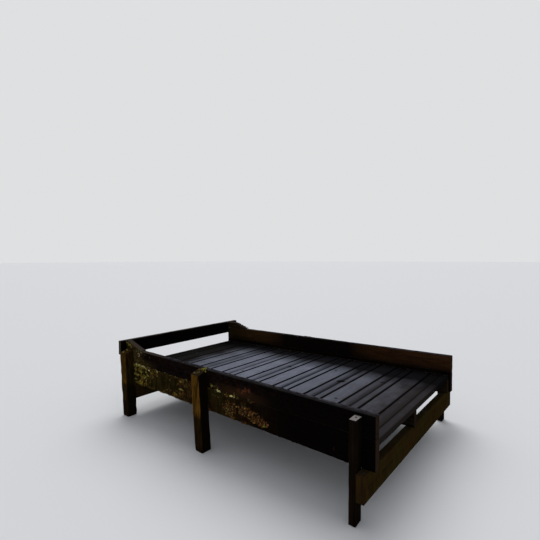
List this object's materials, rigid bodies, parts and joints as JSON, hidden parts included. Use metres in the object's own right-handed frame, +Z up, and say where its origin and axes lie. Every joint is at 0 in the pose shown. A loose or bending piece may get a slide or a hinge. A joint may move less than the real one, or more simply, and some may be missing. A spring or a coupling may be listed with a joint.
{
  "type": "wooden jetty",
  "caption": "Small timber jetty with cross boards, raised kerbs, an end rail and square posts, standing on its post feet.",
  "frame": {"origin": "middle of the bounding box in plan, on the plane of the posts' feet", "axes": "+X along the jetty from its lake end to the bank, +Y across it from the near kerb to the far kerb, +Z up"},
  "size_m": [2.7134, 1.8874, 0.712],
  "materials": {
    "deck": "weathered grey sawn boards, damp",
    "kerb": "dark brown damp sawn timber",
    "rail": "dark wet sawn timber",
    "beam": "wet sawn timber under green and ochre moss",
    "frame": "wet sawn timber with green growth",
    "post": "wet square timber with green growth"
  },
  "bodies": {
    "root": {"deck_board_01": "deck", "deck_board_02": "deck", "deck_board_03": "deck", "deck_board_04": "deck", "deck_board_05": "deck", "deck_board_06": "deck", "deck_board_07": "deck", "deck_board_08": "deck", "deck_board_09": "deck", "deck_board_10": "deck", "deck_board_11": "deck", "deck_board_12": "deck", "deck_board_13": "deck", "deck_board_14": "deck", "deck_board_15": "deck", "deck_board_16": "deck", "deck_board_17": "deck", "near_kerb": "kerb", "far_kerb": "kerb", "near_cheek": "kerb", "far_cheek": "kerb", "end_rail": "rail", "near_edge_beam": "beam", "far_edge_beam": "beam", "near_joist": "frame", "middle_joist": "frame", "far_joist": "frame", "lake_bearer": "frame", "bank_bearer": "frame", "near_lake_post": "post", "far_lake_post": "post", "near_middle_post": "post", "far_middle_post": "post", "near_bank_stake": "post", "far_bank_stake": "post"}
  },
  "joints": []
}
